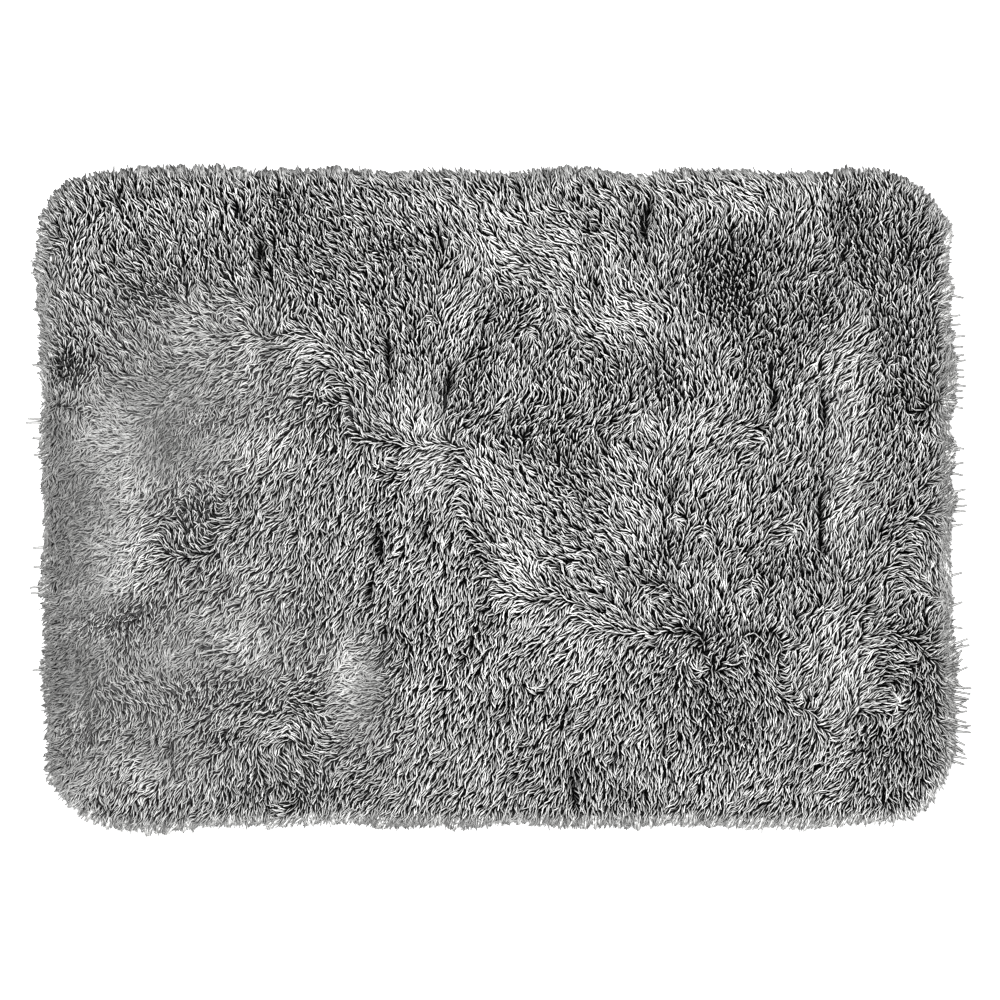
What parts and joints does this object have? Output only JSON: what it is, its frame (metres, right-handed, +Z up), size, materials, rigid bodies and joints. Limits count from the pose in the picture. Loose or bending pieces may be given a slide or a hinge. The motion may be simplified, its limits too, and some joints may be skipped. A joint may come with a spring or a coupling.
{
  "type": "shag rug",
  "caption": "Rectangular shag rug with round corners: one fabric of deep lumpy pile, flat underneath, with locks of pile standing out all round its rim.",
  "frame": {"origin": "middle of the rug's box, locks included, on the floor under it", "axes": "+X along the long sides, +Y along the short sides, +Z up out of the pile"},
  "size_m": [1.7508, 1.2582, 0.044],
  "materials": {
    "pile": "matt grey yarn, cut pile lying over"
  },
  "bodies": {
    "root": {"shag_pile": "pile"}
  },
  "joints": []
}
